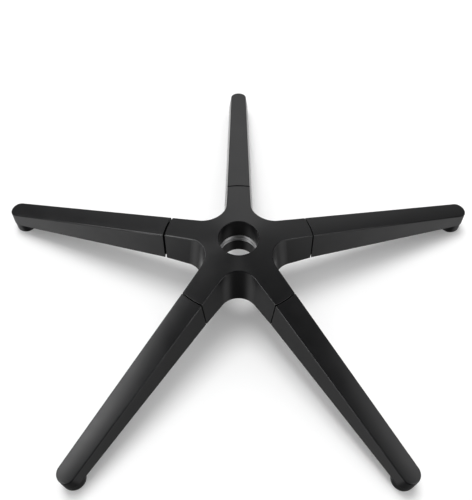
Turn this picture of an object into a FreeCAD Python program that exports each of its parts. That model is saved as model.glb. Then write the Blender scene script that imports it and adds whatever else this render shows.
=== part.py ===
import FreeCAD, Part
import math
import os
import re
import Sketcher
from FreeCAD import Placement, Rotation, Vector

# Five star base of an office chair: a cast hub, five cast arms bolted onto its tongues from below,
# and a steel bush in the bore that takes the tapered foot of the gas lift.
# The origin is on the hub's axis, halfway up the land of the bush.
# +Z is up, and the back arm lies along +Y.

doc = FreeCAD.newDocument("star_base")
sheet = doc.addObject("Spreadsheet::Sheet", "sizes")

ARM_NAMES = ["arm_back", "arm_left", "arm_front_left", "arm_front_right", "arm_right"]
PULLED_ARM = "arm_left"
ARM_STEP = 360 / len(ARM_NAMES)

SIZES = [
    # Hub: heights from the origin, radii from the hub's axis
    ("back_arm_angle", 90.0, "turn of the first arm from +X, degrees"),
    ("rim_height", 39.0, "top rim of the bore"),
    ("seam_radius", 98.8, "round face where a stub ends and its arm begins"),
    ("seam_height", 21.16, "top of hub and arms at the seam"),
    ("seam_depth", 47.0, "height of the side wall at the seam"),
    ("tube_bottom", -24.5, "lower rim of the bore"),
    ("tube_wall", 6.0, "wall of the bore tube"),
    ("mouth_flare", 0.1, "bore's widening from the bush up to the rim"),
    ("rim_edge_radius", 0.6, "rounding of the bore's upper rim"),
    ("ledge_width", 1.12, "ledge that the bush stands on"),
    ("foot_taper", 0.5, "bore's narrowing from the bush down to its lower rim"),
    ("valley_top_reach", 46.1, "valley floor from the axis, at the rim's height"),
    ("valley_top_radius", 27.8, "valley rounding at the rim's height"),
    ("valley_low_reach", 53.9, "valley floor from the axis, at the lower edge"),
    ("valley_low_radius", 26.3, "valley rounding at the lower edge"),
    ("hub_wall", 5.0, "walls of the hub casting"),
    ("bulkhead_wall", 7.0, "wall that closes each stub behind the seam"),
    ("hub_rib_width", 5.0, "ribs under the hub"),
    ("hub_rib_recess", 6.0, "ribs above the hub's lower edge"),
    # Bush
    ("bush_radius", 25.0, "land that holds the gas lift"),
    ("bush_wall", 0.9, "wall of the bush"),
    ("bush_play", 0.12, "gap between bush and hub"),
    ("land_length", 6.8, "straight part of the bush's bore"),
    ("lead_length", 4.4, "chamfer above the land"),
    ("lead_width", 0.4, "chamfer's width"),
    # Arms: distances from the hub's axis
    ("root_overlap", 4.2, "start of the arm's outline behind the seam, before the seam is cut"),
    ("tip_reach", 350.0, "end of the arm"),
    ("top_slope", 14.55, "fall of the arm's top face, degrees"),
    ("skirt_slope", 8.52, "fall of the side walls' lower edge, degrees"),
    ("seam_top_half", 15.2, "half the top face's width at the seam"),
    ("seam_skirt_half", 20.09, "half the width over the lower edges at the seam"),
    ("tip_top_radius", 11.6, "rounding of the top face's end"),
    ("tip_skirt_radius", 15.3, "rounding of the lower edge's end"),
    ("top_wall", 4.5, "thickness under the top face"),
    ("side_wall", 4.0, "thickness of the side walls"),
    ("crown_radius", 160.0, "roundness of the top face across the arm"),
    ("crown_rise", 0.25, "middle of the top face above the slope at the seam"),
    ("edge_radius", 1.6, "rounding of the top edges"),
    ("skirt_edge_radius", 1.2, "rounding of the lower edges"),
    ("seam_edge_radius", 0.4, "edge break along the seam"),
    ("seam_gap", 1.3, "gap between stub and arm"),
    ("pulled_gap", 1.2, "how far the left arm stands off further"),
    ("arm_rib_width", 3.0, "zigzag ribs under the arm"),
    ("arm_rib_pitch", 40.0, "one left and right turn of the zigzag"),
    ("arm_rib_recess", 8.0, "ribs above the arm's lower edge"),
    # Caster bosses
    ("boss_drop", 14.9, "boss face below the lower edge of the side walls"),
    ("boss_radius", 14.7, "round caster boss"),
    ("boss_edge_radius", 1.0, "rounding of the boss face's edge"),
    ("caster_bore_radius", 5.5, "socket for a caster stem"),
    ("caster_bore_depth", 24.0, "depth of that socket"),
    # Spigots, tongues and their screws: depths from the arm's top face
    ("spigot_length", 4.5, "spigot past the seam, in the arm's mouth"),
    ("spigot_recess", 1.0, "spigot above the lower edge of the side walls"),
    ("tongue_length", 52.8, "tongue past the seam"),
    ("tongue_play", 0.7, "gap beside tongue and spigot in the arm's hollow"),
    ("tongue_depth", 14.5, "top of the tongue"),
    ("tongue_thickness", 10.0, "thickness of the tongue"),
    ("screw_setback", 22.0, "first screw past the seam"),
    ("screw_spacing", 22.0, "from the first screw to the second"),
    ("tongue_hole_play", 0.2, "gap around a screw in the tongue when its arm stands off"),
    ("thread_boss_radius", 8.0, "boss that takes the screw's thread"),
    ("thread_play", 0.05, "gap around the screw in its boss"),
    ("thread_top_depth", 3.0, "blind end of the thread hole"),
    ("screw_radius", 4.0, "shank"),
    ("screw_length", 24.0, "under the head"),
    ("screw_point", 1.0, "chamfer at the screw's end"),
    ("screw_head_radius", 6.5, "head"),
    ("screw_head_height", 8.0, "head"),
    ("screw_head_edge", 0.6, "chamfer around the head's end"),
    ("socket_flats", 6.0, "hexagon socket across its flats"),
    ("socket_depth", 4.5, "hexagon socket"),
    ("flat_washer_radius", 8.0, "outside"),
    ("flat_washer_thickness", 1.6, "thickness"),
    ("lock_washer_radius", 7.0, "outside"),
    ("lock_washer_thickness", 2.0, "thickness"),
    ("lock_washer_slit", 1.5, "gap of the split"),
    ("washer_play", 0.2, "gap around the screw in its washers"),
]
ALIASES = {alias for alias, value, note in SIZES}

for row, (alias, value, note) in enumerate(SIZES, start=1):
    sheet.set(f"A{row}", note)
    sheet.set(f"B{row}", str(value))
    sheet.setAlias(f"B{row}", alias)
doc.recompute()

# Formulas that several pieces share, in the sheet's own words
BUSH_TOP = "(land_length / 2 + lead_length)"
BUSH_BOTTOM = "(-land_length / 2)"
BUSH_OUTER_RADIUS = "(bush_radius + bush_wall)"
SEAT_RADIUS = f"({BUSH_OUTER_RADIUS} + bush_play)"
MOUTH_RADIUS = f"({SEAT_RADIUS} + mouth_flare)"
LOWER_BORE_RADIUS = f"({SEAT_RADIUS} - ledge_width)"
TUBE_RADIUS = f"({LOWER_BORE_RADIUS} + tube_wall)"
HUB_FALL = f"((rim_height - seam_height) / (seam_radius - {MOUTH_RADIUS}))"
SKIRT_HEIGHT = "(seam_height - seam_depth)"
TOP_AXIS_HEIGHT = "(seam_height + seam_radius * tan(top_slope))"
SKIRT_AXIS_HEIGHT = f"({SKIRT_HEIGHT} + seam_radius * tan(skirt_slope))"
ROOT_REACH = "(seam_radius - root_overlap)"
BOSS_REACH = "(tip_reach - tip_skirt_radius)"
BOSS_FACE = f"({SKIRT_AXIS_HEIGHT} - {BOSS_REACH} * tan(skirt_slope) - boss_drop)"
TONGUE_REACH = "(seam_radius + tongue_length)"
TONGUE_HALF = "(seam_top_half - side_wall - tongue_play)"
TONGUE_HOLE_RADIUS = "(screw_radius + pulled_gap + tongue_hole_play)"
SCREW_REACHES = {
    "inner": "(seam_radius + screw_setback)",
    "outer": "(seam_radius + screw_setback + screw_spacing)",
}
HEAD_DEPTH = "(tongue_depth + tongue_thickness + flat_washer_thickness + lock_washer_thickness)"
# A cut starts or ends this far outside the metal, in millimetres
OVERCUT = 2
# A point this near to a face lies on it, in millimetres
TOUCH = 0.01


def formula_text(formula):
    """Writes a formula's size names as cells of the sheet."""
    def cell(match):
        word = match.group(0)
        return f"sizes.{word}" if word in ALIASES else word
    return re.sub(r"[a-z_]+", cell, formula)


def value_of(formula):
    return float(sheet.evalExpression(formula_text(formula)))


def bind(item, name, formula):
    item.setExpression(name, formula_text(formula))


def origin_feature(body, role):
    return next(feature for feature in body.Origin.OriginFeatures if feature.Role == role)


def new_body(name):
    body = doc.addObject("PartDesign::Body", name)
    body.Label = name
    return body


# Sketches

def new_sketch(body, name, plane="XY_Plane", height="0", turn="0", axis=Vector(0, 0, 1)):
    """Sketch on one of the body's own planes, raised by height and turned about an axis."""
    sketch = body.newObject("Sketcher::SketchObject", name)
    sketch.AttachmentSupport = (origin_feature(body, plane), [""])
    sketch.MapMode = "FlatFace"
    sketch.AttachmentOffset = Placement(Vector(), Rotation(axis, value_of(turn)))
    bind(sketch, "AttachmentOffset.Base.z", height)
    bind(sketch, "AttachmentOffset.Rotation.Angle", f"({turn}) * 1 deg")
    return sketch


def sloped_sketch(body, name, axis_height, slope, depth="0"):
    """Sketch whose x runs down an arm's slope, sunk below that slope by depth along its normal."""
    height = f"{axis_height} - ({depth}) * cos({slope})"
    sketch = new_sketch(body, name, height=height, turn=slope, axis=Vector(0, 1, 0))
    bind(sketch, "AttachmentOffset.Base.x", f"-({depth}) * sin({slope})")
    return sketch


def cross_sketch(body, name, axis_height, slope):
    """Sketch square to an arm's slope, whose y stands out of the sloped face."""
    sketch = new_sketch(body, name, "YZ_Plane", turn=slope, axis=Vector(1, 0, 0))
    bind(sketch, "AttachmentOffset.Base.y", axis_height)
    return sketch


def constrain(sketch, kind, *where, formula):
    index = sketch.addConstraint(Sketcher.Constraint(kind, *where, value_of(formula)))
    bind(sketch, f"Constraints[{index}]", formula)


def locate(sketch, item, end, x, y):
    """Holds a point of the sketch at x, y from its origin."""
    for kind, formula, other_axis in (("DistanceX", x, -2), ("DistanceY", y, -1)):
        if formula == "0":
            sketch.addConstraint(Sketcher.Constraint("PointOnObject", item, end, other_axis))
        else:
            constrain(sketch, kind, -1, 1, item, end, formula=formula)


def polygon(sketch, corners):
    """Closed outline of straight lines; each corner is a pair of formulas."""
    points = [Vector(value_of(x), value_of(y), 0) for x, y in corners]
    lines = []
    for start, end in zip(points, points[1:] + points[:1]):
        lines.append(sketch.addGeometry(Part.LineSegment(start, end)))
    for index, (x, y) in enumerate(corners):
        sketch.addConstraint(Sketcher.Constraint("Coincident", lines[index - 1], 2, lines[index], 1))
        locate(sketch, lines[index], 1, x, y)


def circle(sketch, x, y, radius):
    centre = Vector(value_of(x), value_of(y), 0)
    item = sketch.addGeometry(Part.Circle(centre, Vector(0, 0, 1), value_of(radius)))
    locate(sketch, item, 3, x, y)
    constrain(sketch, "Radius", item, formula=radius)


def round_bar(sketch, root, half_width, centre, radius):
    """Outline of a tapered bar: square at its root, with a round end that its sides run into."""
    middle = Vector(value_of(centre), 0, 0)
    end_half = Vector(0, value_of(radius), 0)
    root_low = Vector(value_of(root), -value_of(half_width), 0)
    root_high = Vector(value_of(root), value_of(half_width), 0)
    tip = Part.Circle(middle, Vector(0, 0, 1), value_of(radius))
    low = sketch.addGeometry(Part.LineSegment(root_low, middle - end_half))
    arc = sketch.addGeometry(Part.ArcOfCircle(tip, -math.pi / 2, math.pi / 2))
    high = sketch.addGeometry(Part.LineSegment(middle + end_half, root_high))
    back = sketch.addGeometry(Part.LineSegment(root_high, root_low))
    sketch.addConstraint(Sketcher.Constraint("Tangent", low, 2, arc, 1))
    sketch.addConstraint(Sketcher.Constraint("Tangent", arc, 2, high, 1))
    sketch.addConstraint(Sketcher.Constraint("Coincident", high, 2, back, 1))
    sketch.addConstraint(Sketcher.Constraint("Coincident", back, 2, low, 1))
    locate(sketch, arc, 3, centre, "0")
    constrain(sketch, "Radius", arc, formula=radius)
    locate(sketch, low, 1, root, f"-({half_width})")
    locate(sketch, back, 1, root, half_width)


def valley(sketch, floor, radius, reach, half_chord):
    """Outline of the gap between two stubs: round at the hub, straight sides, square beyond the seam."""
    middle = Vector(value_of(f"{floor} + {radius}"), 0, 0)
    low_corner = Vector(value_of(reach), -value_of(half_chord), 0)
    high_corner = Vector(value_of(reach), value_of(half_chord), 0)
    aim = (high_corner - middle).getAngle(Vector(1, 0, 0))
    touch = aim + math.acos(value_of(radius) / (high_corner - middle).Length)
    turned = Vector(math.cos(touch), math.sin(touch), 0) * value_of(radius)
    high_touch = middle + turned
    low_touch = Vector(high_touch.x, -high_touch.y, 0)
    end = Part.Circle(middle, Vector(0, 0, 1), value_of(radius))
    far = Vector(2 * (high_corner.x - middle.x), 0, 0)
    arc = sketch.addGeometry(Part.ArcOfCircle(end, touch, 2 * math.pi - touch))
    low = sketch.addGeometry(Part.LineSegment(low_touch, low_corner))
    low_out = sketch.addGeometry(Part.LineSegment(low_corner, low_corner + far))
    across = sketch.addGeometry(Part.LineSegment(low_corner + far, high_corner + far))
    high_out = sketch.addGeometry(Part.LineSegment(high_corner + far, high_corner))
    high = sketch.addGeometry(Part.LineSegment(high_corner, high_touch))
    sketch.addConstraint(Sketcher.Constraint("Tangent", arc, 2, low, 1))
    sketch.addConstraint(Sketcher.Constraint("Tangent", high, 2, arc, 1))
    for first, second in ((low, low_out), (low_out, across), (across, high_out), (high_out, high)):
        sketch.addConstraint(Sketcher.Constraint("Coincident", first, 2, second, 1))
    locate(sketch, arc, 3, f"{floor} + {radius}", "0")
    constrain(sketch, "Radius", arc, formula=radius)
    locate(sketch, low, 2, reach, f"-({half_chord})")
    locate(sketch, high, 1, reach, half_chord)
    locate(sketch, across, 1, f"2 * ({reach})", f"-({half_chord})")
    locate(sketch, across, 2, f"2 * ({reach})", half_chord)


def crown_gap(sketch, rise, radius, half_width, top):
    """Outline of what is cut away above a crowned face: an arc below, straight sides and a flat top."""
    middle = Vector(0, value_of(f"{rise} - {radius}"), 0)
    lean = math.asin(value_of(half_width) / value_of(radius))
    low_left = middle + Vector(-math.sin(lean), math.cos(lean), 0) * value_of(radius)
    low_right = Vector(-low_left.x, low_left.y, 0)
    high_left = Vector(low_left.x, value_of(top), 0)
    high_right = Vector(low_right.x, value_of(top), 0)
    face = Part.Circle(middle, Vector(0, 0, 1), value_of(radius))
    arc = sketch.addGeometry(Part.ArcOfCircle(face, math.pi / 2 - lean, math.pi / 2 + lean))
    left = sketch.addGeometry(Part.LineSegment(low_left, high_left))
    across = sketch.addGeometry(Part.LineSegment(high_left, high_right))
    right = sketch.addGeometry(Part.LineSegment(high_right, low_right))
    sketch.addConstraint(Sketcher.Constraint("Coincident", arc, 2, left, 1))
    sketch.addConstraint(Sketcher.Constraint("Coincident", left, 2, across, 1))
    sketch.addConstraint(Sketcher.Constraint("Coincident", across, 2, right, 1))
    sketch.addConstraint(Sketcher.Constraint("Coincident", right, 2, arc, 1))
    sketch.addConstraint(Sketcher.Constraint("Vertical", left))
    sketch.addConstraint(Sketcher.Constraint("Vertical", right))
    locate(sketch, arc, 3, "0", f"{rise} - {radius}")
    constrain(sketch, "Radius", arc, formula=radius)
    locate(sketch, across, 1, f"-({half_width})", top)
    locate(sketch, across, 2, half_width, top)


# Features

def loft(body, kind, name, sections):
    feature = body.newObject(f"PartDesign::{kind}Loft", name)
    feature.Profile = sections[0]
    feature.Sections = sections[1:]
    feature.Ruled = True
    return feature


def revolve(body, sketch, name):
    feature = body.newObject("PartDesign::Revolution", name)
    feature.Profile = sketch
    feature.ReferenceAxis = (origin_feature(body, "Z_Axis"), [""])
    feature.Angle = 360
    return feature


def pad(body, sketch, name, length, down=False):
    feature = body.newObject("PartDesign::Pad", name)
    feature.Profile = sketch
    feature.Reversed = down
    bind(feature, "Length", length)
    return feature


def pocket(body, sketch, name, length=None, up=False, both=False):
    """Cut below the sketch, above it or on both sides: as deep as length, or right through."""
    feature = body.newObject("PartDesign::Pocket", name)
    feature.Profile = sketch
    feature.Reversed = up
    if both:
        feature.SideType = "Symmetric"
    if length is None:
        feature.Type = "ThroughAll"
    else:
        bind(feature, "Length", length)
    return feature


def around(body, feature, name):
    """Repeats a feature once for each arm."""
    pattern = body.newObject("PartDesign::PolarPattern", name)
    pattern.Originals = [feature]
    pattern.Axis = (origin_feature(body, "Z_Axis"), [""])
    pattern.Angle = 360
    pattern.Occurrences = len(ARM_NAMES)
    body.Tip = pattern
    return pattern


def round_edges(body, feature, name, radius, wanted):
    """Fillets the edges of a feature that the function wanted picks."""
    doc.recompute()
    chosen = [f"Edge{number}" for number, edge in enumerate(feature.Shape.Edges, start=1) if wanted(edge)]
    if not chosen:
        raise RuntimeError(f"{name} finds no edge")
    fillet = body.newObject("PartDesign::Fillet", name)
    fillet.Base = (feature, chosen)
    bind(fillet, "Radius", radius)
    return fillet


def samples(edge):
    """Three points along an edge, away from its ends."""
    first, last = edge.ParameterRange
    return [edge.valueAt(first + share * (last - first)) for share in (0.25, 0.5, 0.75)]


def axis_distance(point):
    return math.hypot(point.x, point.y)


# Half the width of hub and arms at a distance from the axis: one straight line from seam to tip,
# for the top edge and for the lower edge.

def top_half(reach):
    fall = "(seam_top_half - tip_top_radius) / (tip_reach - tip_top_radius - seam_radius)"
    return f"(seam_top_half - ({reach} - seam_radius) * {fall})"


def skirt_half(reach):
    fall = "(seam_skirt_half - tip_skirt_radius) / (tip_reach - tip_skirt_radius - seam_radius)"
    return f"(seam_skirt_half - ({reach} - seam_radius) * {fall})"


def down_slope(reach, slope):
    """Distance along a sloped face for a distance from the hub's axis."""
    return f"(({reach}) / cos({slope}))"


# What fills or follows the channel under an arm: a block between the slopes of its top and lower edges

def channel_section(body, name, axis_height, slope, half, depth, start, end, wall):
    sketch = sloped_sketch(body, name, axis_height, slope, depth)
    start_half = f"{half(start)} - ({wall})"
    end_half = f"{half(end)} - ({wall})"
    polygon(sketch, [
        (down_slope(start, slope), f"-({start_half})"),
        (down_slope(end, slope), f"-({end_half})"),
        (down_slope(end, slope), end_half),
        (down_slope(start, slope), start_half),
    ])
    return sketch


def channel(body, name, start, end, wall, top_depth, foot_depth):
    """Block from start to end along an arm, a wall in from its sides and a depth in from each slope."""
    top = channel_section(body, name + "_top", TOP_AXIS_HEIGHT, "top_slope", top_half, top_depth,
                          start, end, wall)
    foot = channel_section(body, name + "_foot", SKIRT_AXIS_HEIGHT, "skirt_slope", skirt_half, foot_depth,
                           start, end, wall)
    return loft(body, "Additive", name, [top, foot])


# Hub casting

HALF_STEP = ARM_STEP / 2
PAST_SEAM = f"(seam_radius + {OVERCUT})"
DRAFT = "((seam_skirt_half - seam_top_half) / seam_depth)"


def valley_section(body, name, height, floor, radius, wall="0"):
    """Section of a valley at a height, drawn back into the stubs by a wall."""
    stub_half = f"({top_half(PAST_SEAM)} + {DRAFT} * (seam_height - {height}) - {wall})"
    reach = f"{PAST_SEAM} * cos({HALF_STEP}) + {stub_half} * sin({HALF_STEP})"
    half_chord = f"{PAST_SEAM} * sin({HALF_STEP}) - {stub_half} * cos({HALF_STEP})"
    sketch = new_sketch(body, name, height=height, turn=str(HALF_STEP))
    valley(sketch, f"({floor} - {wall})", f"({radius} + {wall})", reach, half_chord)
    return sketch


def cut_valleys(body, wall="0"):
    above = valley_section(body, body.Name + "_valley_top", f"(rim_height + {OVERCUT})",
                           "valley_top_reach", "valley_top_radius", wall)
    below = valley_section(body, body.Name + "_valley_foot", f"({SKIRT_HEIGHT} - {2 * OVERCUT})",
                           "valley_low_reach", "valley_low_radius", wall)
    cut = loft(body, "Subtractive", body.Name + "_valley", [above, below])
    return around(body, cut, body.Name + "_valleys")


def hub_core():
    """The hollow under the hub, slotted where its ribs stand."""
    body = new_body("hub_core")
    inner_end = "(seam_radius - bulkhead_wall)"
    section = new_sketch(body, "hub_core_section", "XZ_Plane")
    polygon(section, [
        (TUBE_RADIUS, f"rim_height - hub_wall - ({TUBE_RADIUS} - {MOUTH_RADIUS}) * {HUB_FALL}"),
        (inner_end, f"rim_height - hub_wall - ({inner_end} - {MOUTH_RADIUS}) * {HUB_FALL}"),
        (inner_end, f"{SKIRT_HEIGHT} - {OVERCUT}"),
        (TUBE_RADIUS, f"{SKIRT_HEIGHT} - {OVERCUT}"),
    ])
    revolve(body, section, "hub_core_ring")
    cut_valleys(body, "hub_wall")
    for name, turn in (("stub_rib", "0"), ("valley_rib", str(HALF_STEP))):
        slot = new_sketch(body, name, height="tube_bottom + hub_rib_recess", turn=turn)
        polygon(slot, [
            (LOWER_BORE_RADIUS, "-hub_rib_width / 2"),
            ("seam_radius", "-hub_rib_width / 2"),
            ("seam_radius", "hub_rib_width / 2"),
            (LOWER_BORE_RADIUS, "hub_rib_width / 2"),
        ])
        around(body, pocket(body, slot, name + "_slot", up=True), name + "_slots")
    return body


def hub():
    body = new_body("hub")
    section = new_sketch(body, "hub_section", "XZ_Plane")
    polygon(section, [
        (MOUTH_RADIUS, "rim_height"),
        ("seam_radius", "seam_height"),
        ("seam_radius", SKIRT_HEIGHT),
        (TUBE_RADIUS, "tube_bottom"),
        (f"{LOWER_BORE_RADIUS} - foot_taper", "tube_bottom"),
        (LOWER_BORE_RADIUS, BUSH_BOTTOM),
        (SEAT_RADIUS, BUSH_BOTTOM),
        (SEAT_RADIUS, BUSH_TOP),
    ])
    revolve(body, section, "hub_blank")
    valleys = cut_valleys(body)

    def on_cone(edge, radius, height, fall):
        """True for an edge that lies on a cone and stays inside the seam."""
        inside = all(axis_distance(point) < value_of("seam_radius") - TOUCH for point in samples(edge))
        drops = [height - fall * (axis_distance(point) - radius) - point.z for point in samples(edge)]
        return inside and all(abs(drop) < TOUCH for drop in drops)

    def on_rim(edge):
        """The rim of the bore, where it opens into the cone top."""
        spread = [abs(axis_distance(point) - value_of(MOUTH_RADIUS)) for point in samples(edge)]
        drops = [abs(point.z - value_of("rim_height")) for point in samples(edge)]
        return max(spread + drops) < TOUCH

    rounded = round_edges(body, valleys, "hub_rim_edge", "rim_edge_radius", on_rim)

    def on_top_edge(edge):
        """Edges between the cone top and the valley walls."""
        past_rim = all(axis_distance(point) > value_of(TUBE_RADIUS) for point in samples(edge))
        cone = value_of(MOUTH_RADIUS), value_of("rim_height"), value_of(HUB_FALL)
        return past_rim and on_cone(edge, *cone)

    rounded = round_edges(body, rounded, "hub_top_edges", "edge_radius", on_top_edge)

    def on_lower_edge(edge):
        """Edges between the underside and the valley walls."""
        fall = value_of(f"(tube_bottom - {SKIRT_HEIGHT}) / (seam_radius - {TUBE_RADIUS})")
        outside_tube = all(axis_distance(point) > value_of(TUBE_RADIUS) + TOUCH for point in samples(edge))
        return outside_tube and on_cone(edge, value_of(TUBE_RADIUS), value_of("tube_bottom"), fall)

    rounded = round_edges(body, rounded, "hub_lower_edges", "skirt_edge_radius", on_lower_edge)

    def on_seam(edge):
        """The outline of each stub's end, apart from its lower edge."""
        spread = [abs(axis_distance(point) - value_of("seam_radius")) for point in samples(edge)]
        lowest = value_of(f"{SKIRT_HEIGHT} + skirt_edge_radius")
        low = max(point.z for point in samples(edge)) < lowest + TOUCH
        return max(spread) < TOUCH and not low

    round_edges(body, rounded, "hub_seam_edges", "seam_edge_radius", on_seam)
    hollow = body.newObject("PartDesign::Boolean", "hub_hollow")
    hollow.Type = "Cut"
    hollow.setObjects([hub_core()])
    in_bulkhead = "(seam_radius - bulkhead_wall / 2)"
    spigot = channel(body, "spigot", in_bulkhead, "(seam_radius + spigot_length)",
                     "side_wall + tongue_play", "top_wall + tongue_play", "-spigot_recess")
    around(body, spigot, "spigots")
    tongue = sloped_sketch(body, "tongue_outline", TOP_AXIS_HEIGHT, "top_slope", "tongue_depth")
    round_bar(tongue, down_slope(in_bulkhead, "top_slope"), TONGUE_HALF,
              f"{down_slope(TONGUE_REACH, 'top_slope')} - {TONGUE_HALF}", TONGUE_HALF)
    for reach in SCREW_REACHES.values():
        circle(tongue, down_slope(reach, "top_slope"), "0", TONGUE_HOLE_RADIUS)
    around(body, pad(body, tongue, "tongue", "tongue_thickness", down=True), "tongues")
    bind(body, "Placement.Rotation.Angle", "back_arm_angle * 1 deg")
    return body


# Bush for the gas lift

def gas_lift_bush():
    body = new_body("gas_lift_bush")
    section = new_sketch(body, "bush_section", "XZ_Plane")
    polygon(section, [
        ("bush_radius", BUSH_BOTTOM),
        (BUSH_OUTER_RADIUS, BUSH_BOTTOM),
        (BUSH_OUTER_RADIUS, BUSH_TOP),
        ("bush_radius + lead_width", BUSH_TOP),
        ("bush_radius", "land_length / 2"),
    ])
    revolve(body, section, "bush_ring")
    return body


# Arm casting, drawn along +X

def arm_core():
    """The hollow under an arm, with pits for the thread bosses and slots for the zigzag ribs."""
    body = new_body("arm_core")
    root = f"({ROOT_REACH} - {OVERCUT})"
    end = f"({BOSS_REACH} - boss_radius - {OVERCUT})"
    channel(body, "core_block", root, end, "side_wall", "top_wall", str(OVERCUT))
    pits = sloped_sketch(body, "thread_boss_pits", TOP_AXIS_HEIGHT, "top_slope", "top_wall")
    for reach in SCREW_REACHES.values():
        circle(pits, down_slope(reach, "top_slope"), "0", "thread_boss_radius")
    pocket(body, pits, "thread_boss_pit", "tongue_depth - top_wall")
    # Each strip of the zigzag crosses the whole width in half a pitch, and runs on past both walls.
    lean = "(arm_rib_pitch / 2) / (2 * seam_top_half)"
    half_strip = f"(arm_rib_width / 2 * sqrt(1 + ({lean})^2))"
    count = int(value_of(f"({end} - {TONGUE_REACH}) / arm_rib_pitch"))
    for name, side, start in (("rib_out", "1", "0.25"), ("rib_back", "-1", "0.75")):
        strip = sloped_sketch(body, name, SKIRT_AXIS_HEIGHT, "skirt_slope", "-arm_rib_recess")
        middle = f"{down_slope(TONGUE_REACH, 'skirt_slope')} + {start} * arm_rib_pitch"
        far = f"{side} * ({lean}) * seam_skirt_half"
        polygon(strip, [
            (f"{middle} - {far} - {half_strip}", "-seam_skirt_half"),
            (f"{middle} - {far} + {half_strip}", "-seam_skirt_half"),
            (f"{middle} + {far} + {half_strip}", "seam_skirt_half"),
            (f"{middle} + {far} - {half_strip}", "seam_skirt_half"),
        ])
        cut = pocket(body, strip, name + "_slot", up=True)
        pattern = body.newObject("PartDesign::LinearPattern", name + "_slots")
        pattern.Originals = [cut]
        pattern.Direction = (strip, ["H_Axis"])
        pattern.Mode = "Spacing"
        bind(pattern, "Offset", "arm_rib_pitch")
        pattern.Occurrences = count
        body.Tip = pattern
    return body


def arm_casting():
    body = new_body("arm_casting")
    top = sloped_sketch(body, "top_outline", TOP_AXIS_HEIGHT, "top_slope", f"-crown_rise - {OVERCUT}")
    round_bar(top, down_slope(ROOT_REACH, "top_slope"), top_half(ROOT_REACH),
              down_slope("tip_reach - tip_top_radius", "top_slope"), "tip_top_radius")
    skirt = sloped_sketch(body, "skirt_outline", SKIRT_AXIS_HEIGHT, "skirt_slope")
    round_bar(skirt, down_slope(ROOT_REACH, "skirt_slope"), skirt_half(ROOT_REACH),
              down_slope(BOSS_REACH, "skirt_slope"), "tip_skirt_radius")
    loft(body, "Additive", "arm_blank", [top, skirt])
    crown = cross_sketch(body, "crown_outline", TOP_AXIS_HEIGHT, "top_slope")
    crown_gap(crown, "crown_rise", "crown_radius", "2 * seam_top_half", f"crown_rise + {2 * OVERCUT}")
    crowned = pocket(body, crown, "crown", both=True)

    def on_top_edge(edge):
        """The sides and the round end of the crowned top face."""
        slope = math.radians(value_of("top_slope"))
        along = Vector(math.cos(slope), 0, -math.sin(slope))
        normal = Vector(math.sin(slope), 0, math.cos(slope))
        centre = Vector(0, 0, value_of(TOP_AXIS_HEIGHT)) + normal * value_of("crown_rise - crown_radius")
        radii = [(point - centre).cross(along).Length for point in samples(edge)]
        on_face = all(abs(radius - value_of("crown_radius")) < TOUCH for radius in radii)
        at_root = all(point.x < value_of(ROOT_REACH) + TOUCH for point in samples(edge))
        return on_face and not at_root

    rounded = round_edges(body, crowned, "arm_top_edges", "edge_radius", on_top_edge)

    def on_lower_edge(edge):
        """The sides and the round end of the lower edge."""
        fall = math.tan(math.radians(value_of("skirt_slope")))
        height = value_of(SKIRT_AXIS_HEIGHT)
        on_face = all(abs(height - fall * point.x - point.z) < TOUCH for point in samples(edge))
        at_root = all(point.x < value_of(ROOT_REACH) + TOUCH for point in samples(edge))
        return on_face and not at_root

    round_edges(body, rounded, "arm_lower_edges", "skirt_edge_radius", on_lower_edge)
    boss = new_sketch(body, "boss_outline", height=BOSS_FACE)
    circle(boss, BOSS_REACH, "0", "boss_radius")
    bossed = pad(body, boss, "caster_boss", f"boss_drop + boss_radius * tan(skirt_slope) + {OVERCUT}")

    def on_boss_face(edge):
        return all(abs(point.z - value_of(BOSS_FACE)) < TOUCH for point in samples(edge))

    round_edges(body, bossed, "boss_edge", "boss_edge_radius", on_boss_face)
    seam = new_sketch(body, "seam_circle")
    circle(seam, "0", "0", "seam_radius + seam_gap")
    seam_cut = pocket(body, seam, "seam_face", both=True)

    def on_seam(edge):
        """The outline of the arm's inner end, apart from its lower edge."""
        face_radius = value_of("seam_radius + seam_gap")
        spread = [abs(axis_distance(point) - face_radius) for point in samples(edge)]
        lowest = value_of(f"{SKIRT_AXIS_HEIGHT} - {face_radius} * tan(skirt_slope) + 2 * skirt_edge_radius")
        low = max(point.z for point in samples(edge)) < lowest
        return max(spread) < TOUCH and not low

    round_edges(body, seam_cut, "arm_seam_edges", "seam_edge_radius", on_seam)
    hollow = body.newObject("PartDesign::Boolean", "arm_hollow")
    hollow.Type = "Cut"
    hollow.setObjects([arm_core()])
    threads = sloped_sketch(body, "thread_holes", TOP_AXIS_HEIGHT, "top_slope", "thread_top_depth")
    for reach in SCREW_REACHES.values():
        circle(threads, down_slope(reach, "top_slope"), "0", "screw_radius + thread_play")
    pocket(body, threads, "thread_hole", f"tongue_depth - thread_top_depth + {OVERCUT}")
    socket = new_sketch(body, "caster_socket_circle", height=BOSS_FACE)
    circle(socket, BOSS_REACH, "0", "caster_bore_radius")
    pocket(body, socket, "caster_socket", "caster_bore_depth", up=True)
    return body


# Screws and washers, drawn upright with z = 0 at the face nearer the tongue

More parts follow.
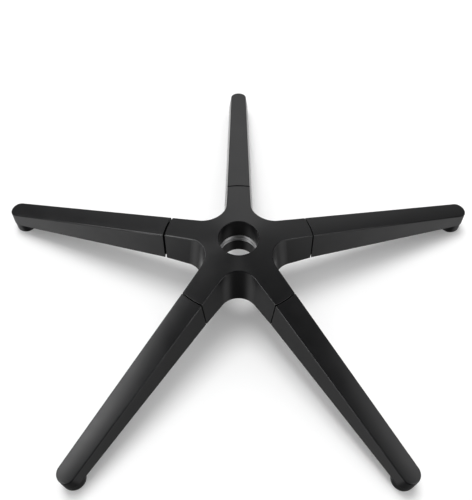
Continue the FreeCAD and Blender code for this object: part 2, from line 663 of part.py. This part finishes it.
def arm_screw():
    body = new_body("arm_screw")
    section = new_sketch(body, "screw_section", "XZ_Plane")
    polygon(section, [
        ("0", "-screw_head_height"),
        ("screw_head_radius - screw_head_edge", "-screw_head_height"),
        ("screw_head_radius", "screw_head_edge - screw_head_height"),
        ("screw_head_radius", "0"),
        ("screw_radius", "0"),
        ("screw_radius", "screw_length - screw_point"),
        ("screw_radius - screw_point", "screw_length"),
        ("0", "screw_length"),
    ])
    revolve(body, section, "screw_blank")
    hexagon = new_sketch(body, "screw_socket", height="-screw_head_height")
    corner = "socket_flats / 2 / cos(30)"
    polygon(hexagon, [(f"{corner} * cos({turn})", f"{corner} * sin({turn})" if turn % 180 else "0")
                      for turn in range(0, 360, 60)])
    pocket(body, hexagon, "screw_socket_cut", "socket_depth", up=True)
    return body


def washer(name, outer_radius, thickness):
    body = new_body(name)
    outline = new_sketch(body, name + "_outline")
    circle(outline, "0", "0", outer_radius)
    circle(outline, "0", "0", "screw_radius + washer_play")
    pad(body, outline, name + "_ring", thickness, down=True)
    return body


def split_washer():
    body = washer("lock_washer", "lock_washer_radius", "lock_washer_thickness")
    slit = new_sketch(body, "washer_slit")
    polygon(slit, [
        ("0", "-lock_washer_slit / 2"),
        ("2 * lock_washer_radius", "-lock_washer_slit / 2"),
        ("2 * lock_washer_radius", "lock_washer_slit / 2"),
        ("0", "lock_washer_slit / 2"),
    ])
    pocket(body, slit, "washer_slit_cut", both=True)
    return body


# Assembly

def copy_of(master, name):
    """A body of its own that repeats a finished piece."""
    base = doc.addObject("PartDesign::FeatureBase", name + "_base")
    base.BaseFeature = master
    body = new_body(name)
    body.Group = [base]
    body.Tip = base
    return body


def arm_place(name):
    """Turn of an arm about the hub, and its stand-off along its own slope."""
    turn = f"(back_arm_angle + {ARM_NAMES.index(name) * ARM_STEP})"
    pull = "pulled_gap" if name == PULLED_ARM else "0"
    turned = f"placement(vector(0; 0; 0); rotation(vector(0; 0; 1); {turn}))"
    pulled = f"placement(vector({pull} * cos(top_slope); 0; -{pull} * sin(top_slope)); rotation(0; 0; 0))"
    return f"{turned} * {pulled}"


def fastener_place(arm_name, reach, depth):
    """Place of a fastener under an arm, square to its slope."""
    slope = f"placement(vector(0; 0; {TOP_AXIS_HEIGHT}); rotation(vector(0; 1; 0); top_slope))"
    seat = f"placement(vector({down_slope(reach, 'top_slope')}; 0; -({depth})); rotation(0; 0; 0))"
    return f"{arm_place(arm_name)} * {slope} * {seat}"


def fastener_group(name, master, depth):
    copies = []
    for arm_name in ARM_NAMES:
        for row, reach in SCREW_REACHES.items():
            piece = copy_of(master, f"{name}_{arm_name}_{row}")
            bind(piece, "Placement", fastener_place(arm_name, reach, depth))
            copies.append(piece)
    group = doc.addObject("Part::Compound", name)
    group.Label = name
    group.Links = copies
    return group


pieces = [hub(), gas_lift_bush()]
casting = arm_casting()
for arm_name in ARM_NAMES:
    arm = copy_of(casting, arm_name)
    bind(arm, "Placement", arm_place(arm_name))
    pieces.append(arm)
washer_face = "tongue_depth + tongue_thickness"
flat_washer = washer("flat_washer", "flat_washer_radius", "flat_washer_thickness")
pieces.append(fastener_group("flat_washers", flat_washer, washer_face))
pieces.append(fastener_group("lock_washers", split_washer(), f"{washer_face} + flat_washer_thickness"))
pieces.append(fastener_group("arm_screws", arm_screw(), HEAD_DEPTH))
doc.recompute()

for item in doc.Objects:
    if "Invalid" in item.State or "Error" in item.State:
        raise RuntimeError(f"{item.Label} failed: {item.State}")
for piece in pieces:
    if piece.Shape.isNull() or not piece.Shape.isValid():
        raise RuntimeError(f"{piece.Label} has no valid shape")

os.makedirs("parts", exist_ok=True)
for piece in pieces:
    piece.Shape.exportStep(f"parts/{piece.Label}.step")
    print(piece.Label, len(piece.Shape.Solids), round(piece.Shape.Volume, 1))
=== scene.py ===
import math
import bpy
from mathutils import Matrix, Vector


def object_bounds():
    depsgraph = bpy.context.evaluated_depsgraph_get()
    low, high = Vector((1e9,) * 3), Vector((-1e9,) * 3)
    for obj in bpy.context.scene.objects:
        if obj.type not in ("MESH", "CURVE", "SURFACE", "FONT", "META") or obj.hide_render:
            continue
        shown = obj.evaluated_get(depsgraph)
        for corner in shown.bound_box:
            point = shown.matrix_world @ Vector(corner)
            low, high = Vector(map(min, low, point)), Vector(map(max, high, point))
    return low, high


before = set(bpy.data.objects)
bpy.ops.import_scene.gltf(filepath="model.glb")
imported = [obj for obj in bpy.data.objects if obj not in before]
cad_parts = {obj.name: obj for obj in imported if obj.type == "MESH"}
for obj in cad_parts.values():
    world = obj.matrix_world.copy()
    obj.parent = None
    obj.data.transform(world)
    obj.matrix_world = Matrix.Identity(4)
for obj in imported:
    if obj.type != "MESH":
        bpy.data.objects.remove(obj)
cad_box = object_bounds()


# Hub
# The middle of the base: an aluminium die casting with five short stubs around the bore of the gas lift.
# It is blasted and powder coated in satin black. A spigot and a tongue on each stub run on into the arm.

def linear(code):
    """sRGB hex colour as linear red, green, blue and alpha."""
    shares = [int(code[start:start + 2], 16) / 255 for start in (1, 3, 5)]
    return [s / 12.92 if s <= 0.04045 else ((s + 0.055) / 1.055) ** 2.4 for s in shares] + [1.0]


def add_node(tree, kind, settings=(), inputs=()):
    """Adds a node; each input is a plain value or the output socket that feeds it."""
    node = tree.nodes.new(kind)
    for name, value in dict(settings).items():
        setattr(node, name, value)
    for name, value in dict(inputs).items():
        if isinstance(value, bpy.types.NodeSocket):
            tree.links.new(value, node.inputs[name])
        else:
            node.inputs[name].default_value = value
    return node


def new_material(name):
    """Empty material, its node tree and its output node."""
    material = bpy.data.materials.new(name)
    material.use_nodes = True
    material.node_tree.nodes.clear()
    return material, material.node_tree, material.node_tree.nodes.new("ShaderNodeOutputMaterial")


def dress(node_name, material):
    """Gives a piece its one material."""
    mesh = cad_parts[node_name].data
    mesh.materials.clear()
    mesh.materials.append(material)


# Powder coat, baked on: a thin plastic skin, even black, that softens every reflection.
# Its orange peel is about 1 mm from bump to bump, and is drawn at 1.6 mm to show at all.
PEEL_MM = 1.6
PEEL_HEIGHT_MM = 0.06
PEEL_STRENGTH = 0.25
# The spray leaves patches a few centimetres wide that are a touch greyer and rougher.
PATCH_MM = 28.0
COAT_DARK = "#0B0B0C"
COAT_LIGHT = "#101011"
COAT_ROUGH = (0.29, 0.35)
COAT_IOR = 1.36
# A noise pattern stays mostly between these two values.
NOISE_LOW, NOISE_HIGH = 0.3, 0.7
# The Mix node's colour sockets, by number, because its sockets for plain values have the same names.
MIX_FROM, MIX_TO, MIX_COLOUR = 6, 7, 2

powder_coat, tree, output = new_material("satin_black_powder_coat")
place = add_node(tree, "ShaderNodeTexCoord").outputs["Object"]
patches = add_node(tree, "ShaderNodeTexNoise", inputs={
    "Vector": place, "Scale": 1000 / PATCH_MM, "Detail": 3.0, "Roughness": 0.6})
peel = add_node(tree, "ShaderNodeTexNoise", inputs={
    "Vector": place, "Scale": 1000 / PEEL_MM, "Detail": 1.0, "Roughness": 0.4})
peel_bump = add_node(tree, "ShaderNodeBump", inputs={
    "Height": peel.outputs["Fac"], "Strength": PEEL_STRENGTH, "Distance": PEEL_HEIGHT_MM / 1000})
rough = add_node(tree, "ShaderNodeMapRange", inputs={
    "Value": patches.outputs["Fac"], "From Min": NOISE_LOW, "From Max": NOISE_HIGH,
    "To Min": COAT_ROUGH[0], "To Max": COAT_ROUGH[1]})
tint = add_node(tree, "ShaderNodeMix", {"data_type": "RGBA"}, {
    "Factor": patches.outputs["Fac"], MIX_FROM: linear(COAT_DARK), MIX_TO: linear(COAT_LIGHT)})
coat_shader = add_node(tree, "ShaderNodeBsdfPrincipled", inputs={
    "Base Color": tint.outputs[MIX_COLOUR], "Roughness": rough.outputs["Result"],
    "IOR": COAT_IOR, "Normal": peel_bump.outputs["Normal"]})
tree.links.new(coat_shader.outputs["BSDF"], output.inputs["Surface"])
dress("hub", powder_coat)


# Bush for the gas lift
# A turned steel ring let into the hub's bore, with a straight land and a chamfer that leads the lift's foot in.
# It is left bare and bright, and the lathe tool's marks run around it.

# Turned steel: bright, with fine light and dark streaks that follow the tool.
# The tool's marks are about 0.2 mm apart, and are drawn 1.6 mm apart to show at all.
TURNING_MM = 1.6
TURNING_HEIGHT_MM = 0.04
TURNING_STRENGTH = 0.5
# A mark keeps its depth for a few centimetres around the ring.
STREAK_MM = 25.0
STREAK_EDGES = (0.35, 0.65)
STEEL_DARK = "#77777A"
STEEL_LIGHT = "#DCDCDC"
STEEL_ROUGH = (0.34, 0.50)

bare_steel, tree, output = new_material("turned_bare_steel")
place = add_node(tree, "ShaderNodeTexCoord").outputs["Object"]
around = add_node(tree, "ShaderNodeMapping", inputs={
    "Vector": place, "Scale": (1000 / STREAK_MM, 1000 / STREAK_MM, 1000 / TURNING_MM)})
marks = add_node(tree, "ShaderNodeTexNoise", inputs={
    "Vector": around.outputs["Vector"], "Scale": 1.0, "Detail": 2.0, "Roughness": 0.5})
mark_bump = add_node(tree, "ShaderNodeBump", inputs={
    "Height": marks.outputs["Fac"], "Strength": TURNING_STRENGTH, "Distance": TURNING_HEIGHT_MM / 1000})
rough = add_node(tree, "ShaderNodeMapRange", inputs={
    "Value": marks.outputs["Fac"], "From Min": NOISE_LOW, "From Max": NOISE_HIGH,
    "To Min": STEEL_ROUGH[0], "To Max": STEEL_ROUGH[1]})
streaks = add_node(tree, "ShaderNodeMapRange", inputs={
    "Value": marks.outputs["Fac"], "From Min": STREAK_EDGES[0], "From Max": STREAK_EDGES[1]})
tint = add_node(tree, "ShaderNodeMix", {"data_type": "RGBA"}, {
    "Factor": streaks.outputs["Result"], MIX_FROM: linear(STEEL_DARK), MIX_TO: linear(STEEL_LIGHT)})
steel_shader = add_node(tree, "ShaderNodeBsdfPrincipled", inputs={
    "Base Color": tint.outputs[MIX_COLOUR], "Metallic": 1.0, "Roughness": rough.outputs["Result"],
    "Normal": mark_bump.outputs["Normal"]})
tree.links.new(steel_shader.outputs["BSDF"], output.inputs["Surface"])
dress("gas_lift_bush", bare_steel)


# Arms
# Five aluminium castings, hollow below and ribbed, each pushed over a spigot and a tongue of the hub up to its seam.
# They are coated with the hub, so they wear the same satin black.

for arm in ("arm_back", "arm_left", "arm_front_left", "arm_front_right", "arm_right"):
    dress(arm, powder_coat)


# Washers and screws
# Steel fasteners that hold each arm to its tongue from below: a flat washer, a split washer and a socket screw.
# They are zinc plated in a barrel.

# Zinc plate: a cool grey skin, bright but slightly cloudy, with clouds of a millimetre or two.
CLOUD_MM = 1.5
CLOUD_HEIGHT_MM = 0.03
CLOUD_STRENGTH = 0.2
ZINC_DARK = "#7E8081"
ZINC_LIGHT = "#B4B6B5"
ZINC_ROUGH = (0.28, 0.45)

zinc, tree, output = new_material("zinc_plated_steel")
place = add_node(tree, "ShaderNodeTexCoord").outputs["Object"]
clouds = add_node(tree, "ShaderNodeTexNoise", inputs={
    "Vector": place, "Scale": 1000 / CLOUD_MM, "Detail": 3.0, "Roughness": 0.6})
cloud_bump = add_node(tree, "ShaderNodeBump", inputs={
    "Height": clouds.outputs["Fac"], "Strength": CLOUD_STRENGTH, "Distance": CLOUD_HEIGHT_MM / 1000})
rough = add_node(tree, "ShaderNodeMapRange", inputs={
    "Value": clouds.outputs["Fac"], "From Min": NOISE_LOW, "From Max": NOISE_HIGH,
    "To Min": ZINC_ROUGH[0], "To Max": ZINC_ROUGH[1]})
tint = add_node(tree, "ShaderNodeMix", {"data_type": "RGBA"}, {
    "Factor": clouds.outputs["Fac"], MIX_FROM: linear(ZINC_DARK), MIX_TO: linear(ZINC_LIGHT)})
zinc_shader = add_node(tree, "ShaderNodeBsdfPrincipled", inputs={
    "Base Color": tint.outputs[MIX_COLOUR], "Metallic": 1.0, "Roughness": rough.outputs["Result"],
    "Normal": cloud_bump.outputs["Normal"]})
tree.links.new(zinc_shader.outputs["BSDF"], output.inputs["Surface"])
for group in ("flat_washers", "lock_washers", "arm_screws"):
    dress(group, zinc)


# Floor
# A matt white studio floor of painted board, which the base stands on.
# It is rolled on, so its sheen varies a little over a few decimetres.

FLOOR_WHITE = "#F2F2F2"
FLOOR_ROUGH = (0.85, 0.95)
FLOOR_SHEEN = 0.1
FLOOR_PATCH_MM = 333.0
FLOOR_SIZE = 9.0

bpy.ops.object.select_all(action="DESELECT")
bpy.ops.mesh.primitive_plane_add(size=FLOOR_SIZE, location=(0, 0, cad_box[0][2]))
floor = bpy.context.object
floor.name = "floor"
floor_paint, tree, output = new_material("matt_white_floor")
place = add_node(tree, "ShaderNodeTexCoord").outputs["Object"]
rolled = add_node(tree, "ShaderNodeTexNoise", inputs={
    "Vector": place, "Scale": 1000 / FLOOR_PATCH_MM, "Detail": 2.0})
rough = add_node(tree, "ShaderNodeMapRange", inputs={
    "Value": rolled.outputs["Fac"], "To Min": FLOOR_ROUGH[0], "To Max": FLOOR_ROUGH[1]})
floor_shader = add_node(tree, "ShaderNodeBsdfPrincipled", inputs={
    "Base Color": linear(FLOOR_WHITE), "Roughness": rough.outputs["Result"],
    "Specular IOR Level": FLOOR_SHEEN})
tree.links.new(floor_shader.outputs["BSDF"], output.inputs["Surface"])
floor.data.materials.append(floor_paint)


# Studio light
# Soft boxes on the left and right, and cards behind, above and in front, that the black base alone mirrors.
# The floor has far lamps of its own: one lays the shadow, a wide one softens it, and an even one lifts it.

spared_floor = bpy.data.collections.new("all_but_floor")
spared_floor.objects.link(floor)
spared_floor.collection_objects[0].light_linking.link_state = "EXCLUDE"
floor_alone = bpy.data.collections.new("floor_alone")
floor_alone.objects.link(floor)


def heading(azimuth, elevation):
    """Unit vector that points to an azimuth and elevation in degrees."""
    turn, rise = math.radians(azimuth), math.radians(elevation)
    return math.cos(rise) * math.cos(turn), math.cos(rise) * math.sin(turn), math.sin(rise)


def hang(lamp, azimuth, elevation, distance, lit):
    """Hangs a lamp at an azimuth and elevation in degrees, facing the base, and says what it lights."""
    holder = bpy.data.objects.new(lamp.name, lamp)
    bpy.context.scene.collection.objects.link(holder)
    holder.location = [distance * share for share in heading(azimuth, elevation)]
    holder.rotation_euler = (math.radians(90 - elevation), 0, math.radians(azimuth + 90))
    holder.light_linking.receiver_collection = lit
    holder.visible_camera = False


def soft_box(name, azimuth, elevation, distance, width, height, brightness):
    """Area lamp that the base mirrors, sizes in metres."""
    lamp = bpy.data.lights.new(name, "AREA")
    lamp.shape = "RECTANGLE"
    lamp.size = width
    lamp.size_y = height
    lamp.energy = brightness * math.pi * width * height
    hang(lamp, azimuth, elevation, distance, spared_floor)


FAR = 3.0


def floor_lamp(name, azimuth, elevation, brightness, spread=0.0, shadows=True):
    """Far lamp for the floor alone; a spread in degrees softens its shadows."""
    lamp = bpy.data.lights.new(name, "SUN")
    lamp.energy = brightness * math.pi
    lamp.angle = math.radians(spread)
    lamp.use_shadow = shadows
    hang(lamp, azimuth, elevation, FAR, floor_alone)


# Azimuth, elevation, distance, width, height and brightness of each box or card.
# Those behind the base stand at different distances, so that none lies in another's plane.
soft_box("left_front_box", 196, 43, 1.0, 0.36, 0.40, 10.5)
soft_box("left_back_box", 165, 42, 1.0, 0.36, 0.36, 12.5)
soft_box("right_box", 350, 39, 1.0, 0.62, 0.36, 4.2)
soft_box("right_front_box", 335, 44, 1.0, 0.36, 0.36, 0.8)
soft_box("back_card", 90, 30, 1.6, 2.4, 1.2, 0.72)
soft_box("back_left_card", 130, 32, 1.7, 1.3, 1.2, 0.33)
soft_box("back_right_card", 55, 28, 1.75, 1.3, 1.2, 0.68)
soft_box("back_middle_card", 90, 30, 1.85, 1.1, 1.3, 1.28)
soft_box("top_left_card", 120, 62, 1.6, 0.7, 0.7, 1.85)
soft_box("top_right_card", 60, 62, 1.6, 0.7, 0.7, 1.9)
soft_box("crown_box", 270, 86, 1.6, 0.3, 0.3, 6.0)
# These two draw the thin light line along the ridges of the arms.
soft_box("front_left_card", 222, 24, 1.65, 0.75, 0.5, 17.0)
soft_box("front_right_card", 318, 24, 1.65, 0.7, 0.5, 12.0)

# Azimuth, elevation and brightness of each lamp for the floor.
floor_lamp("shadow_lamp", 108, 71, 0.46, spread=25)
floor_lamp("dome_lamp", 100, 76, 0.48, spread=95)
floor_lamp("floor_fill", 90, 90, 0.28, shadows=False)

# The room is dark, so the edges that face it stay black. The floor is kept out of the base's reflections, and the
# sides of the base mirror soft pale patches low around it instead, each with its azimuth, elevation, radius of the
# even core and of the faded rim in degrees, and brightness.
ROOM_GLOW = 0.03
LOW_PATCHES = (
    (209, -24, 8, 36, 2.12),
    (331, -24, 8, 35, 1.72),
    (0, -90, 55, 88, 0.11),
    (140, -22, 10, 40, 1.2),
    (40, -22, 10, 40, 1.0),
    (140, -48, 8, 26, 0.45),
    (90, -32, 20, 52, 0.9),
)
# Deepens the dark tones of the picture a little.
PICTURE_GAMMA = 0.88

floor.visible_glossy = False
world = bpy.data.worlds.new("studio")
world.use_nodes = True
tree = world.node_tree
place = add_node(tree, "ShaderNodeTexCoord").outputs["Generated"]
glow = ROOM_GLOW
for azimuth, elevation, core, rim, brightness in LOW_PATCHES:
    facing = add_node(tree, "ShaderNodeVectorMath", {"operation": "DOT_PRODUCT"}, {
        0: place, 1: heading(azimuth, elevation)})
    patch = add_node(tree, "ShaderNodeMapRange", {"interpolation_type": "SMOOTHSTEP"}, {
        "Value": facing.outputs["Value"], "From Min": math.cos(math.radians(rim)),
        "From Max": math.cos(math.radians(core)), "To Max": brightness})
    glow = add_node(tree, "ShaderNodeMath", {"operation": "ADD"}, {
        0: patch.outputs["Result"], 1: glow}).outputs["Value"]
# Beyond the floor's edge the camera sees plain white.
seen = add_node(tree, "ShaderNodeLightPath").outputs["Is Camera Ray"]
shown = add_node(tree, "ShaderNodeMath", {"operation": "MAXIMUM"}, {0: glow, 1: seen}).outputs["Value"]
tree.links.new(shown, tree.nodes["Background"].inputs["Strength"])
tree.nodes["Background"].inputs["Color"].default_value = (1.0, 1.0, 1.0, 1.0)
bpy.context.scene.world = world
bpy.context.scene.view_settings.view_transform = "Standard"
bpy.context.scene.view_settings.gamma = PICTURE_GAMMA


# Camera
# In front of the base and above it, looking down on the hub.
# Place in metres, tilt in degrees from straight down, and a slight turn that levels the picture.

SENSOR_MM = 36.0
LENS_MM = 46.797
CAMERA_PLACE = (-0.002474, -0.467452, 0.726803)
CAMERA_TILT = 33.13
CAMERA_TURN = 0.11955

lens = bpy.data.cameras.new("camera")
lens.sensor_width = SENSOR_MM
lens.lens = LENS_MM
camera = bpy.data.objects.new("camera", lens)
bpy.context.scene.collection.objects.link(camera)
camera.location = CAMERA_PLACE
camera.rotation_euler = (math.radians(CAMERA_TILT), 0, math.radians(CAMERA_TURN))
bpy.context.scene.camera = camera
